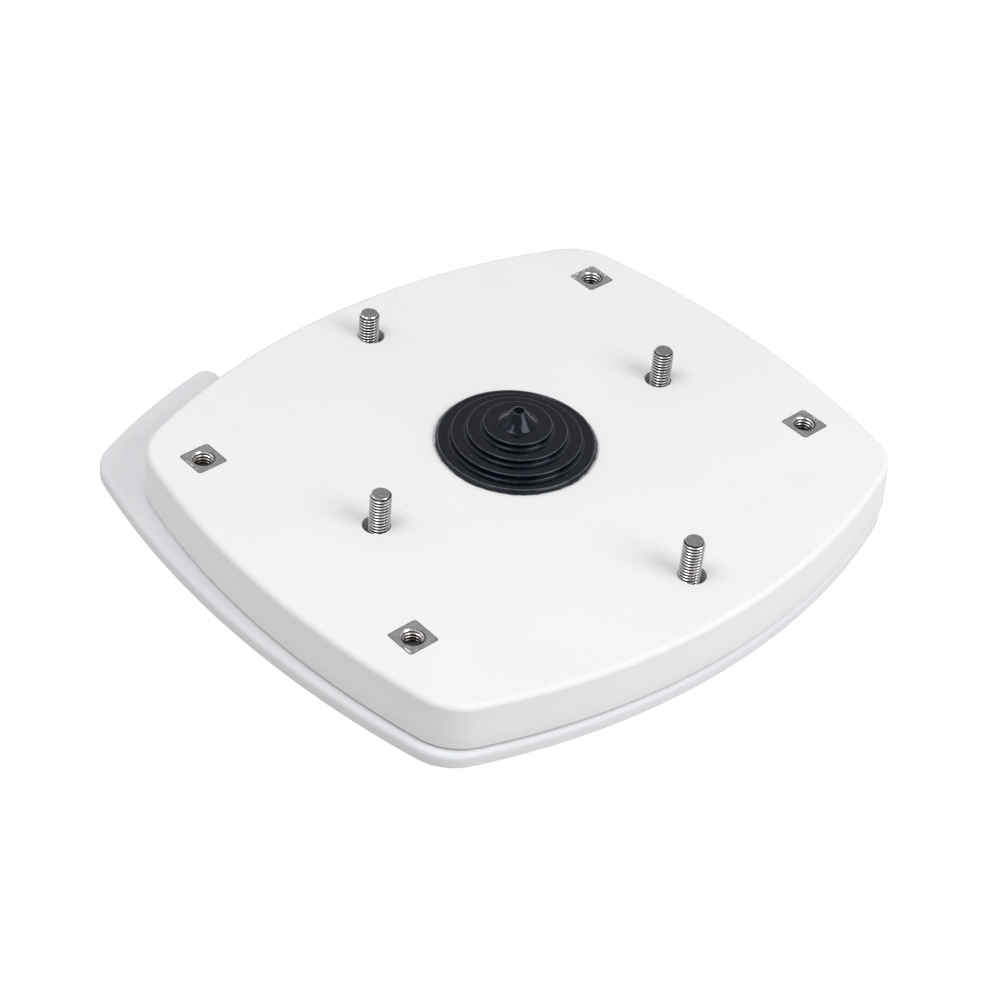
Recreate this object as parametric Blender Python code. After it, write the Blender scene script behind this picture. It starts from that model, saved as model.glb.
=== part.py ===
"""Mounting base for a small antenna: a moulded adapter body that rests on a cast base plate.

Run with: blender --background --python part.py, or from Blender's text editor.

Frame: metres, +Z up. The origin is the centre of the base plate's outline, on the face it rests on.
+X runs from the cable notch towards the plain end, and the object is widest along Y.
The plate, its four threaded studs and their nuts stand still. The adapter body, its captive square
nuts, the cable grommet and the seal lift off the studs together, straight up along Z.
"""

import math

import bmesh
import bpy

MM = 0.001

# What every touching pair of pieces keeps between its faces.
GAP = 0.3 * MM

# Base plate: a barrel-shaped casting with a notch in its -X side.
PLATE_NOTCH_REACH = 151.6 * MM
PLATE_PLAIN_REACH = 145.0 * MM
PLATE_WIDTH = 300.5 * MM
PLATE_THICKNESS = 7.0 * MM
PLATE_NOTCH_SIDE_RADIUS = 301.4 * MM
PLATE_PLAIN_SIDE_RADIUS = 325.5 * MM
PLATE_END_RADIUS = 454.3 * MM
PLATE_CROWN_X = -6.9 * MM
PLATE_NOTCH_CORNER = 21.1 * MM
PLATE_PLAIN_CORNER = 24.6 * MM
PLATE_TOP_ROUND = 2.2 * MM
PLATE_BOTTOM_ROUND = 0.8 * MM
NOTCH_RIGHT_REACH = 53.8 * MM
NOTCH_LEFT_REACH = 87.0 * MM
NOTCH_DEPTH = 23.2 * MM
NOTCH_TIP_RADIUS = 6.3 * MM
NOTCH_INNER_RADIUS = 4.0 * MM
PLATE_LAND = 9.0 * MM
PLATE_RECESS = 2.6 * MM
RECESS_CORNER = 4.0 * MM
PLATE_RIB = 5.0 * MM
PLATE_PAD_WALL = 6.7 * MM
CABLE_HOLE_RADIUS = 30.0 * MM
CABLE_HOLE_LAND = 6.0 * MM

# Adapter body: it is placed by the centre of its square-nut pattern.
BODY_X = 2.6 * MM
BODY_Y = 3.0 * MM
BODY_LENGTH = 264.0 * MM
BODY_WIDTH = 293.0 * MM
BODY_HEIGHT = 22.3 * MM
BODY_MIDDLE_X = 8.5 * MM
BODY_NOTCH_SIDE_RADIUS = 325.0 * MM
BODY_PLAIN_SIDE_RADIUS = 322.0 * MM
BODY_END_RADIUS = 405.0 * MM
BODY_CROWN_X = 6.5 * MM
BODY_NOTCH_CORNER = 28.0 * MM
BODY_PLAIN_CORNER = 25.0 * MM
BODY_EDGE_ROUND = 2.6 * MM
BODY_DRAFT = 0.9 * MM
BODY_WALL = 6.0 * MM
BODY_SKIN = 5.0 * MM
BODY_RIB = 3.0 * MM
BODY_RIB_HEIGHT = 4.0 * MM
STUD_PAD_WALL = 6.0 * MM
BODY_FOOT_GAP = 1.2 * MM

# Seal between the adapter body's wall and the plate.
SEAL_INSET = 3.0 * MM
SEAL_WIDTH = 2.4 * MM
SEAL_HEIGHT = 1.9 * MM

# Captive square nuts, on the rectangle that four-bolt antenna mounts share.
NUT_SPACING_X = 141.5 * MM
NUT_SPACING_Y = 233.0 * MM
NUT_ACROSS_FLATS = 14.7 * MM
NUT_HEIGHT = 8.0 * MM
NUT_CORNER = 1.1 * MM
NUT_BORE_RADIUS = 4.05 * MM
NUT_MOUTH_RADIUS = 4.95 * MM
NUT_FIT = 0.25 * MM
NUT_BOSS_WALL = 2.6 * MM
BOLT_HOLE_RADIUS = 5.4 * MM

# Threaded studs, on a diamond. Each is screwed in to its own height and sits a little off its hole.
STUD_RADIUS = 4.75 * MM
STUD_CHAMFER = 0.9 * MM
STUD_PATTERN_X = 7.6 * MM
STUD_PATTERN_Y = 0.6 * MM
STUD_PATTERN_TURN = math.radians(0.55)
STUD_REACH_X = 105.1 * MM
STUD_REACH_Y = 84.9 * MM
STUD_HOLE_CLEARANCE = 1.55 * MM
STUDS = {
    "notch": {"way": (-1, 0), "off_centre": (-0.80 * MM, -0.93 * MM), "stands": 12.8 * MM},
    "left": {"way": (0, 1), "off_centre": (0.62 * MM, 0.70 * MM), "stands": 16.6 * MM},
    "plain": {"way": (1, 0), "off_centre": (-0.82 * MM, -0.92 * MM), "stands": 19.1 * MM},
    "right": {"way": (0, -1), "off_centre": (0.82 * MM, 0.92 * MM), "stands": 17.5 * MM},
}

# Lock hardware on each stud, inside the adapter body.
WASHER_WIDTH = 5.25 * MM
WASHER_THICKNESS = 2.0 * MM
SPRING_WASHER_WIDTH = 4.25 * MM
SPRING_WASHER_THICKNESS = 2.4 * MM
SPRING_WASHER_SPLIT = 12.0
LOCKNUT_ACROSS_FLATS = 16.0 * MM
LOCKNUT_HEIGHT = 5.0 * MM
LOCKNUT_CHAMFER = 1.0 * MM

# Stepped cable grommet, gripping the edge of the hole in the body's skin.
GROMMET_X = 2.3 * MM
GROMMET_Y = 1.0 * MM
GROMMET_FLANGE_RADIUS = 36.75 * MM
GROMMET_FLANGE = 2.0 * MM
GROMMET_TIER_RADII = (29.8 * MM, 22.8 * MM, 15.7 * MM)
GROMMET_TIER_HEIGHT = 3.15 * MM
GROMMET_LIP_ROUND = 0.6 * MM
GROMMET_WALL = 2.2 * MM
GROMMET_CONE_BASE = 8.2 * MM
GROMMET_CONE_TIP = 3.7 * MM
GROMMET_CONE_HEIGHT = 6.7 * MM
GROMMET_TIP_HOLE = 2.4 * MM
GROMMET_NECK_STEP = 2.2 * MM
GROMMET_LOWER_LIP = 3.0 * MM
GROMMET_LOWER_LIP_HEIGHT = 2.4 * MM
GROMMET_SEAT_DEPTH = 0.5 * MM

# How finely round shapes are cut.
SIDE_STEPS = 12
CORNER_STEPS = 6
ROUND_STEPS = 2
HOLE_STEPS = 24
GROMMET_STEPS = 48
PAST = 5.0 * MM

FOOT_Z = PLATE_THICKNESS + BODY_FOOT_GAP
TOP_Z = FOOT_Z + BODY_HEIGHT
SKIN_Z = TOP_Z - BODY_SKIN


def clear_scene():
    for obj in list(bpy.data.objects):
        bpy.data.objects.remove(obj)


def make_finish(name, colour, roughness, metallic=0.0):
    """A Principled material of one colour, given as linear red, green and blue."""
    material = bpy.data.materials.new(name)
    material.use_nodes = True
    shader = material.node_tree.nodes["Principled BSDF"]
    shader.inputs["Base Color"].default_value = (*colour, 1.0)
    shader.inputs["Roughness"].default_value = roughness
    shader.inputs["Metallic"].default_value = metallic
    return material


def make_object(name, mesh_maker, finish=None, smooth_angle=30.0):
    """An object from a filled bmesh, with its faces pointing out and its curved faces smooth."""
    bmesh.ops.remove_doubles(mesh_maker, verts=mesh_maker.verts, dist=1e-6)
    bmesh.ops.recalc_face_normals(mesh_maker, faces=mesh_maker.faces)
    mesh = bpy.data.meshes.new(name)
    mesh_maker.to_mesh(mesh)
    mesh_maker.free()
    mesh.shade_smooth()
    mesh.set_sharp_from_angle(angle=math.radians(smooth_angle))
    if finish:
        mesh.materials.append(finish)
    obj = bpy.data.objects.new(name, mesh)
    bpy.context.scene.collection.objects.link(obj)
    return obj


def as_cutter(obj):
    obj.hide_render = True
    obj.display_type = "WIRE"
    return obj


def combine(obj, other, operation="DIFFERENCE"):
    """Adds a live Boolean. The other object becomes a hidden cutter."""
    modifier = obj.modifiers.new(f"{operation.lower()} {other.name}", "BOOLEAN")
    modifier.operation = operation
    modifier.solver = "EXACT"
    modifier.object = as_cutter(other)


def attach(child, parent):
    """Parents a piece without moving it."""
    child.parent = parent
    child.matrix_parent_inverse = parent.matrix_world.inverted()


# Outlines: a closed chain of arcs, run anticlockwise. Straight runs join one arc's end to the next.


def corner_centre(side_a, side_b, radius, quadrant):
    """The centre of the circle that touches two big circles from the inside, in one quadrant."""
    (ax, ay, ar), (bx, by, br) = side_a, side_b
    reach_a = ar - radius
    reach_b = br - radius
    span = math.hypot(bx - ax, by - ay)
    along = (reach_a**2 - reach_b**2 + span**2) / (2 * span)
    across = math.sqrt(reach_a**2 - along**2)
    ux, uy = (bx - ax) / span, (by - ay) / span
    found = [
        (ax + ux * along + side * uy * across, ay + uy * along - side * ux * across)
        for side in (1, -1)
    ]
    return max(found, key=lambda point: point[0] * quadrant[0] + point[1] * quadrant[1])


def angle_to(centre, point):
    return math.atan2(point[1] - centre[1], point[0] - centre[0])


def mirrored(arcs):
    """The same arcs on the other side of the X axis, still run anticlockwise."""
    return [
        (cx, -cy, radius, -end, -start, steps, bulge)
        for cx, cy, radius, start, end, steps, bulge in reversed(arcs)
    ]


def barrel_sides(left, right, half_width, crown_x, left_r, right_r, end_r):
    """The three big circles of a barrel outline: right side, +Y end and left side."""
    return (
        (right - right_r, 0.0, right_r),
        (crown_x, half_width - end_r, end_r),
        (left + left_r, 0.0, left_r),
    )


def barrel_arcs(sides, left_corner, right_corner, notch=None):
    """The arcs (x, y, radius, start, end, steps, bulge) of a barrel.

    A notch at -X is (reach to +Y, reach to -Y, depth, tip radius, inner radius).
    """
    right, end, left = sides
    corner_r = corner_centre(right, end, right_corner, (1, 1))
    corner_l = corner_centre(left, end, left_corner, (-1, 1))
    right_angle = angle_to(right, corner_r)
    end_from = angle_to(end, corner_r)
    end_to = angle_to(end, corner_l)
    left_angle = angle_to(left, corner_l)
    upper = [
        (*right, 0.0, right_angle, SIDE_STEPS // 2, 1),
        (*corner_r, right_corner, right_angle, end_from, CORNER_STEPS, 1),
        (*end, end_from, end_to, SIDE_STEPS, 1),
        (*corner_l, left_corner, end_to, left_angle, CORNER_STEPS, 1),
    ]
    if notch is None:
        upper.append((*left, left_angle, math.pi, SIDE_STEPS // 2, 1))
        return upper + mirrored(upper)
    reach_left, reach_right, depth, tip, inner = notch
    floor_x = left[0] - left[2] + depth

    def edge(reach):
        tip_y = reach + tip
        tip_x = left[0] - math.sqrt((left[2] - tip) ** 2 - tip_y**2)
        tip_angle = math.atan2(tip_y - left[1], tip_x - left[0])
        return [
            (*left, left_angle, tip_angle, SIDE_STEPS // 2, 1),
            (tip_x, tip_y, tip, tip_angle, 1.5 * math.pi, CORNER_STEPS, 1),
            (floor_x - inner, reach - inner, inner, 0.5 * math.pi, 0.0, CORNER_STEPS, -1),
        ]

    return upper + edge(reach_left) + mirrored(upper + edge(reach_right))


def outline(arcs, inset=0.0, at=(0.0, 0.0)):
    """Points of the outline, moved inwards by the inset. Hollow arcs (bulge -1) grow instead."""
    points = []
    for cx, cy, radius, start, end, steps, bulge in arcs:
        reach = radius - bulge * inset
        for step in range(steps + 1):
            angle = start + (end - start) * step / steps
            x = at[0] + cx + reach * math.cos(angle)
            y = at[1] + cy + reach * math.sin(angle)
            if not points or math.dist(points[-1], (x, y)) > 0.01 * MM:
                points.append((x, y))
    if math.dist(points[0], points[-1]) < 0.01 * MM:
        points.pop()
    return points


# Solids.


def loft(name, rings, finish=None, closed=False):
    """A solid through outlines of equal length, given as (points, z). closed joins last to first."""
    maker = bmesh.new()
    loops = [[maker.verts.new((x, y, z)) for x, y in points] for points, z in rings]
    pairs = list(zip(loops, loops[1:]))
    if closed:
        pairs.append((loops[-1], loops[0]))
    else:
        maker.faces.new(loops[0])
        maker.faces.new(loops[-1])
    for lower, upper in pairs:
        for here in range(len(lower)):
            there = (here + 1) % len(lower)
            maker.faces.new((lower[here], lower[there], upper[there], upper[here]))
    return make_object(name, maker, finish)


def rounded_edge(radius, z, direction):
    """(inset, z) along a quarter round, from the side wall to the flat face at z."""
    steps = [math.pi / 2 * step / ROUND_STEPS for step in range(ROUND_STEPS + 1)]
    return [
        (radius * (1 - math.cos(turn)), z - direction * radius * (1 - math.sin(turn)))
        for turn in steps
    ]


def turned(name, profile, at, finish=None, steps=HOLE_STEPS, sweep=360.0):
    """A solid from a closed (radius, z) profile spun about a vertical axis at the given place."""
    maker = bmesh.new()
    corners = [maker.verts.new((at[0] + radius, at[1], z)) for radius, z in profile]
    centre = (at[0], at[1], 0.0)
    if sweep < 360.0:
        geometry = [maker.faces.new(corners)]
    else:
        geometry = [
            maker.edges.new((corners[i], corners[(i + 1) % len(corners)]))
            for i in range(len(corners))
        ]
    bmesh.ops.spin(
        maker,
        geom=geometry,
        cent=centre,
        axis=(0, 0, 1),
        dvec=(0, 0, 0),
        angle=math.radians(sweep),
        steps=steps,
        use_merge=sweep == 360.0,
    )
    return make_object(name, maker, finish)


def posts(name, places, low, high, steps=HOLE_STEPS):
    """One hidden cutter of upright cylinders, at (x, y, radius) places that don't touch."""
    maker = bmesh.new()
    for x, y, radius in places:
        made = bmesh.ops.create_cone(
            maker,
            cap_ends=True,
            segments=steps,
            radius1=radius,
            radius2=radius,
            depth=high - low,
        )
        bmesh.ops.translate(maker, verts=made["verts"], vec=(x, y, (low + high) / 2))
    return as_cutter(make_object(name, maker))


def block(name, low, high):
    """One hidden cutter: a box between two corners."""
    maker = bmesh.new()
    made = bmesh.ops.create_cube(maker, size=1.0)
    size = [b - a for a, b in zip(low, high)]
    middle = [(a + b) / 2 for a, b in zip(low, high)]
    bmesh.ops.scale(maker, verts=made["verts"], vec=size)
    bmesh.ops.translate(maker, verts=made["verts"], vec=middle)
    return as_cutter(make_object(name, maker))


def square_points(side, corner, at):
    """A square outline with rounded corners."""
    half = side / 2 - corner
    points = []
    for quarter, (sx, sy) in enumerate(((1, 1), (-1, 1), (-1, -1), (1, -1))):
        for step in range(4):
            angle = math.pi / 2 * (quarter + step / 3)
            x = at[0] + sx * half + corner * math.cos(angle)
            y = at[1] + sy * half + corner * math.sin(angle)
            points.append((x, y))
    return points


# Places.


def body_place(x, y):
    """A point of the adapter body, given from the centre of its square-nut pattern."""
    return (BODY_X + x, BODY_Y + y)


def nut_places():
    return {
        f"{end}_{side}": body_place(sx * NUT_SPACING_X / 2, sy * NUT_SPACING_Y / 2)
        for end, sx in (("notch", -1), ("plain", 1))
        for side, sy in (("left", 1), ("right", -1))
    }


def stud_hole_places():
    cos, sin = math.cos(STUD_PATTERN_TURN), math.sin(STUD_PATTERN_TURN)
    places = {}
    for name, stud in STUDS.items():
        x = stud["way"][0] * STUD_REACH_X
        y = stud["way"][1] * STUD_REACH_Y
        places[name] = body_place(
            STUD_PATTERN_X + x * cos - y * sin,
            STUD_PATTERN_Y + x * sin + y * cos,
        )
    return places


def stud_places():
    return {
        name: (
            hole[0] + STUDS[name]["off_centre"][0],
            hole[1] + STUDS[name]["off_centre"][1],
        )
        for name, hole in stud_hole_places().items()
    }


def grommet_place():
    return body_place(GROMMET_X, GROMMET_Y)


def neck_hole_radius():
    """The hole in the body's skin that the grommet's neck goes through."""
    return GROMMET_TIER_RADII[0] + GROMMET_NECK_STEP


# Pieces.


def plate_arcs(inset=0.0):
    """The base plate's outline. Moved inwards, its notch tips keep at least the recess's corner."""
    sides = barrel_sides(
        -PLATE_NOTCH_REACH,
        PLATE_PLAIN_REACH,
        PLATE_WIDTH / 2,
        PLATE_CROWN_X,
        PLATE_NOTCH_SIDE_RADIUS,
        PLATE_PLAIN_SIDE_RADIUS,
        PLATE_END_RADIUS,
    )
    sides = tuple((x, y, radius - inset) for x, y, radius in sides)
    notch = (
        NOTCH_LEFT_REACH + inset,
        NOTCH_RIGHT_REACH + inset,
        NOTCH_DEPTH,
        max(NOTCH_TIP_RADIUS - inset, RECESS_CORNER if inset else NOTCH_TIP_RADIUS),
        NOTCH_INNER_RADIUS + inset,
    )
    return barrel_arcs(sides, PLATE_NOTCH_CORNER - inset, PLATE_PLAIN_CORNER - inset, notch)


def make_base_plate(finish):
    """Cast plate with rolled edges, a notch at -X and a ribbed recess underneath."""
    arcs = plate_arcs()
    lower = rounded_edge(PLATE_BOTTOM_ROUND, 0.0, -1)
    upper = rounded_edge(PLATE_TOP_ROUND, PLATE_THICKNESS, 1)
    rings = [(outline(arcs, inset), z) for inset, z in list(reversed(lower)) + upper]
    plate = loft("base_plate", rings, finish)

    shape = outline(plate_arcs(PLATE_LAND))
    recess = loft("cut_plate_recess", [(shape, -PAST), (shape, PLATE_RECESS)])
    studs = list(stud_places().values())
    pads = [(x, y, STUD_RADIUS + PLATE_PAD_WALL) for x, y in studs]
    grommet = grommet_place()
    pads.append((*grommet, CABLE_HOLE_RADIUS + CABLE_HOLE_LAND))
    combine(recess, posts("keep_plate_pads", pads, -2 * PAST, PAST))
    for side in (-1, 1):
        x = BODY_X + side * NUT_SPACING_X / 2
        bar = block(
            f"keep_plate_bar_{side}",
            (x - PLATE_RIB / 2, -PLATE_WIDTH, -2 * PAST),
            (x + PLATE_RIB / 2, PLATE_WIDTH, PAST),
        )
        combine(recess, bar)
        y = BODY_Y + STUD_PATTERN_Y + side * STUD_REACH_Y
        bar = block(
            f"keep_plate_cross_bar_{side}",
            (-PLATE_NOTCH_REACH, y - PLATE_RIB / 2, -2 * PAST),
            (PLATE_PLAIN_REACH, y + PLATE_RIB / 2, PAST),
        )
        combine(recess, bar)
    combine(plate, recess)

    holes = [(x, y, STUD_RADIUS + GAP) for x, y in studs]
    top = PLATE_THICKNESS + PAST
    combine(plate, posts("cut_plate_holes", holes, -PAST, top))
    cable = posts("cut_plate_cable_hole", [(*grommet, CABLE_HOLE_RADIUS)], -PAST, top, 64)
    combine(plate, cable)
    return plate


def body_arcs():
    half = BODY_LENGTH / 2
    sides = barrel_sides(
        BODY_MIDDLE_X - half,
        BODY_MIDDLE_X + half,
        BODY_WIDTH / 2,
        BODY_CROWN_X,
        BODY_NOTCH_SIDE_RADIUS,
        BODY_PLAIN_SIDE_RADIUS,
        BODY_END_RADIUS,
    )
    return barrel_arcs(sides, BODY_NOTCH_CORNER, BODY_PLAIN_CORNER)


def body_outline(inset):
    """The adapter body's outline at its top, moved inwards by the inset."""
    return outline(body_arcs(), inset, (BODY_X, BODY_Y))


def make_adapter_body(finish):
    """Moulded cover, open underneath, with a column for each nut and pads and ribs under the skin."""
    rings = [(body_outline(-BODY_DRAFT), FOOT_Z)]
    rings += [(body_outline(inset), z) for inset, z in rounded_edge(BODY_EDGE_ROUND, TOP_Z, 1)]
    body = loft("adapter_body", rings, finish)

    hollow = loft(
        "cut_body_hollow",
        [
            (body_outline(BODY_WALL - BODY_DRAFT), FOOT_Z - PAST),
            (body_outline(BODY_WALL - BODY_DRAFT), FOOT_Z),
            (body_outline(BODY_WALL), SKIN_Z),
        ],
    )
    nuts = list(nut_places().values())
    holes = list(stud_hole_places().values())
    grommet = grommet_place()
    low = FOOT_Z - 2 * PAST
    kept = [(x, y, NUT_ACROSS_FLATS / math.sqrt(2) + NUT_BOSS_WALL) for x, y in nuts]
    combine(hollow, posts("keep_body_bosses", kept, low, TOP_Z))
    rib_low = SKIN_Z - BODY_RIB_HEIGHT
    long_x = (-BODY_LENGTH, BODY_LENGTH)
    long_y = (-BODY_WIDTH, BODY_WIDTH)
    for side in (-1, 1):
        x = BODY_X + side * NUT_SPACING_X / 2
        bar = block(
            f"keep_body_rib_{side}",
            (x - BODY_RIB / 2, long_y[0], rib_low),
            (x + BODY_RIB / 2, long_y[1], TOP_Z),
        )
        combine(hollow, bar)
        y = BODY_Y + STUD_PATTERN_Y + side * STUD_REACH_Y
        bar = block(
            f"keep_body_cross_rib_{side}",
            (long_x[0], y - BODY_RIB / 2, rib_low),
            (long_x[1], y + BODY_RIB / 2, TOP_Z),
        )
        combine(hollow, bar)
    bar = block(
        "keep_body_middle_rib",
        (long_x[0], BODY_Y - BODY_RIB / 2, rib_low),
        (long_x[1], BODY_Y + BODY_RIB / 2, TOP_Z),
    )
    combine(hollow, bar)
    pads = [(x, y, STUD_RADIUS + STUD_HOLE_CLEARANCE + STUD_PAD_WALL) for x, y in holes]
    combine(hollow, posts("keep_body_stud_pads", pads, rib_low, TOP_Z))
    combine(body, hollow)

    rebate = loft(
        "cut_body_rebate",
        [
            (body_outline(SEAL_INSET - BODY_DRAFT), FOOT_Z - PAST),
            (body_outline(SEAL_INSET - BODY_DRAFT), seal_top() + GAP),
        ],
    )
    combine(body, rebate)

    lip = neck_hole_radius() + GROMMET_LOWER_LIP + 2 * GROMMET_WALL
    room = posts("cut_body_grommet_room", [(*grommet, lip)], FOOT_Z - PAST, SKIN_Z, 64)
    combine(body, room)
    through = [(x, y, BOLT_HOLE_RADIUS) for x, y in nuts]
    through += [(x, y, STUD_RADIUS + STUD_HOLE_CLEARANCE) for x, y in holes]
    combine(body, posts("cut_body_holes", through, FOOT_Z - PAST, TOP_Z + PAST))
    neck = posts("cut_body_neck", [(*grommet, neck_hole_radius())], 0.0, TOP_Z + PAST, 64)
    combine(body, neck)
    seat_z = TOP_Z - GROMMET_SEAT_DEPTH
    seat = (*grommet, GROMMET_FLANGE_RADIUS + GAP)
    combine(body, posts("cut_body_grommet_seat", [seat], seat_z, TOP_Z + PAST, 64))
    for name, place in nut_places().items():
        side = NUT_ACROSS_FLATS + 2 * NUT_FIT
        points = square_points(side, NUT_CORNER + NUT_FIT, place)
        floor = TOP_Z - NUT_HEIGHT - GAP
        pocket = loft(f"cut_nut_pocket_{name}", [(points, floor), (points, TOP_Z + PAST)])
        combine(body, pocket)
    return body


def seal_top():
    return PLATE_THICKNESS + GAP + SEAL_HEIGHT


def make_seal(finish):
    """Flat rubber seal in the rebate inside the body's foot."""
    outer = body_outline(SEAL_INSET - BODY_DRAFT + GAP)
    inner = body_outline(SEAL_INSET - BODY_DRAFT + GAP + SEAL_WIDTH)
    low = PLATE_THICKNESS + GAP
    high = seal_top()
    rings = [(outer, low), (outer, high), (inner, high), (inner, low)]
    return loft("foot_seal", rings, finish, closed=True)


def make_square_nut(name, place, finish):
    """Square nut, flush with the body's top face, with a chamfered bore."""
    top = TOP_Z
    low = top - NUT_HEIGHT
    points = square_points(NUT_ACROSS_FLATS, NUT_CORNER, place)
    nut = loft(f"square_nut_{name}", [(points, low), (points, top)], finish)
    mouth = NUT_MOUTH_RADIUS - NUT_BORE_RADIUS
    profile = [
        (0.0, low - PAST),
        (NUT_BORE_RADIUS, low - PAST),
        (NUT_BORE_RADIUS, top - mouth),
        (NUT_MOUTH_RADIUS + PAST, top + PAST),
        (0.0, top + PAST),
    ]
    combine(nut, turned(f"cut_{nut.name}", profile, place))
    return nut


def make_stud(name, place, top, finish):
    """Threaded stud, held in the plate, with a chamfer at each end."""
    low = GAP
    profile = [
        (0.0, low),
        (STUD_RADIUS - STUD_CHAMFER, low),
        (STUD_RADIUS, low + STUD_CHAMFER),
        (STUD_RADIUS, top - STUD_CHAMFER),
        (STUD_RADIUS - STUD_CHAMFER, top),
        (0.0, top),
    ]
    return turned(f"stud_{name}", profile, place, finish)


def make_lock_hardware(name, place, steel, spring_steel):
    """Plain washer, split spring washer and thin hex nut, stacked on the plate round one stud."""
    bore = STUD_RADIUS + GAP
    low = PLATE_THICKNESS + GAP
    high = low + WASHER_THICKNESS
    outer = STUD_RADIUS + WASHER_WIDTH
    ring = [(bore, low), (outer, low), (outer, high), (bore, high)]
    washer = turned(f"washer_{name}", ring, place, steel)

    low = high + GAP
    high = low + SPRING_WASHER_THICKNESS
    outer = STUD_RADIUS + SPRING_WASHER_WIDTH
    ring = [(bore, low), (outer, low), (outer, high), (bore, high)]
    sweep = 360.0 - SPRING_WASHER_SPLIT
    spring = turned(f"spring_washer_{name}", ring, place, spring_steel, HOLE_STEPS, sweep)

    low = high + GAP
    high = low + LOCKNUT_HEIGHT
    corner = LOCKNUT_ACROSS_FLATS / math.sqrt(3)
    points = [
        (
            place[0] + corner * math.cos(math.pi / 3 * side),
            place[1] + corner * math.sin(math.pi / 3 * side),
        )
        for side in range(6)
    ]
    nut = loft(f"locknut_{name}", [(points, low), (points, high)], steel)
    face = LOCKNUT_ACROSS_FLATS / 2
    # The two cones run on past the nut's faces, so that none of their faces lies in one of its.
    rise = LOCKNUT_CHAMFER
    bevelled = [
        (0.0, low - rise),
        (face - 2 * rise, low - rise),
        (face + 2 * rise, low + rise),
        (face + 2 * rise, high - rise),
        (face - 2 * rise, high + rise),
        (0.0, high + rise),
    ]
    combine(nut, turned(f"keep_{nut.name}", bevelled, place), "INTERSECT")
    combine(nut, posts(f"cut_{nut.name}", [(*place, bore)], low - PAST, high + PAST))
    return [washer, spring, nut]


def grommet_profile():
    """The closed (radius, z) section: flange, tiers and cone outside, and the same steps inside."""
    lip = GROMMET_LIP_ROUND
    wall = GROMMET_WALL
    flange_low = TOP_Z - GROMMET_SEAT_DEPTH + GAP
    flange_top = TOP_Z + GROMMET_FLANGE
    tiers = [
        (radius, flange_top + (step + 1) * GROMMET_TIER_HEIGHT)
        for step, radius in enumerate(GROMMET_TIER_RADII)
    ]
    cone_z = tiers[-1][1]
    tip_z = cone_z + GROMMET_CONE_HEIGHT
    neck = neck_hole_radius() - GAP
    under = SKIN_Z - GAP
    foot = under - GROMMET_LOWER_LIP_HEIGHT

    outside = [(GROMMET_TIP_HOLE, tip_z - lip), (GROMMET_TIP_HOLE + lip / 2, tip_z)]
    outside += [(GROMMET_CONE_TIP, tip_z - lip), (GROMMET_CONE_BASE, cone_z)]
    for (radius, z), drop_to in zip(reversed(tiers), [tiers[1][1], tiers[0][1], flange_top]):
        outside += [(radius - lip, z), (radius, z - lip), (radius, drop_to)]
    outside += [(GROMMET_FLANGE_RADIUS - lip, flange_top), (GROMMET_FLANGE_RADIUS, flange_top - lip)]
    outside += [(GROMMET_FLANGE_RADIUS, flange_low), (neck, flange_low), (neck, under)]
    outside += [(neck + GROMMET_LOWER_LIP, under), (neck + GROMMET_LOWER_LIP - lip, foot)]

    inside = [(GROMMET_TIER_RADII[0] - wall, foot)]
    for radius, z in tiers[:-1]:
        following = GROMMET_TIER_RADII[GROMMET_TIER_RADII.index(radius) + 1]
        inside += [(radius - wall, z - wall), (following - wall, z - wall)]
    last_radius, last_z = tiers[-1]
    inside += [(last_radius - wall, last_z - wall), (GROMMET_CONE_BASE - wall, last_z - wall)]
    inside.append((GROMMET_TIP_HOLE, tip_z - 2 * wall))
    return outside + inside


def make_grommet(finish):
    return turned("cable_grommet", grommet_profile(), grommet_place(), finish, GROMMET_STEPS)


def main():
    clear_scene()
    white_plastic = make_finish("white_plastic", (0.83, 0.83, 0.84), 0.45)
    grey_paint = make_finish("grey_paint", (0.60, 0.63, 0.67), 0.38)
    steel = make_finish("stainless_steel", (0.52, 0.51, 0.49), 0.30, 1.0)
    nut_steel = make_finish("nut_steel", (0.46, 0.45, 0.44), 0.42, 1.0)
    spring_steel = make_finish("spring_steel", (0.33, 0.33, 0.33), 0.40, 1.0)
    rubber = make_finish("black_rubber", (0.016, 0.018, 0.022), 0.50)
    seal_rubber = make_finish("seal_rubber", (0.025, 0.025, 0.027), 0.80)

    plate = make_base_plate(grey_paint)
    lift_axis = bpy.data.objects.new("lift_axis", None)
    lift_axis.location = (*body_place(0.0, 0.0), FOOT_Z)
    bpy.context.scene.collection.objects.link(lift_axis)
    bpy.context.view_layer.update()

    lifted = [make_adapter_body(white_plastic), make_seal(seal_rubber), make_grommet(rubber)]
    for name, place in nut_places().items():
        lifted.append(make_square_nut(name, place, nut_steel))
    for piece in lifted:
        attach(piece, lift_axis)

    for name, place in stud_places().items():
        top = TOP_Z + STUDS[name]["stands"]
        attach(make_stud(name, place, top, steel), plate)
        for piece in make_lock_hardware(name, place, steel, spring_steel):
            attach(piece, plate)


main()
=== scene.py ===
"""Looks for an antenna mounting base: a moulded adapter body over a thin cast plate.

Lengths are worked out in millimetres and become metres when a mesh is made.
Z is counted up from the ground in mesh code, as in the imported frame.
"""

import math

import bmesh
import bpy
import numpy as np
from mathutils import Matrix, Vector


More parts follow.
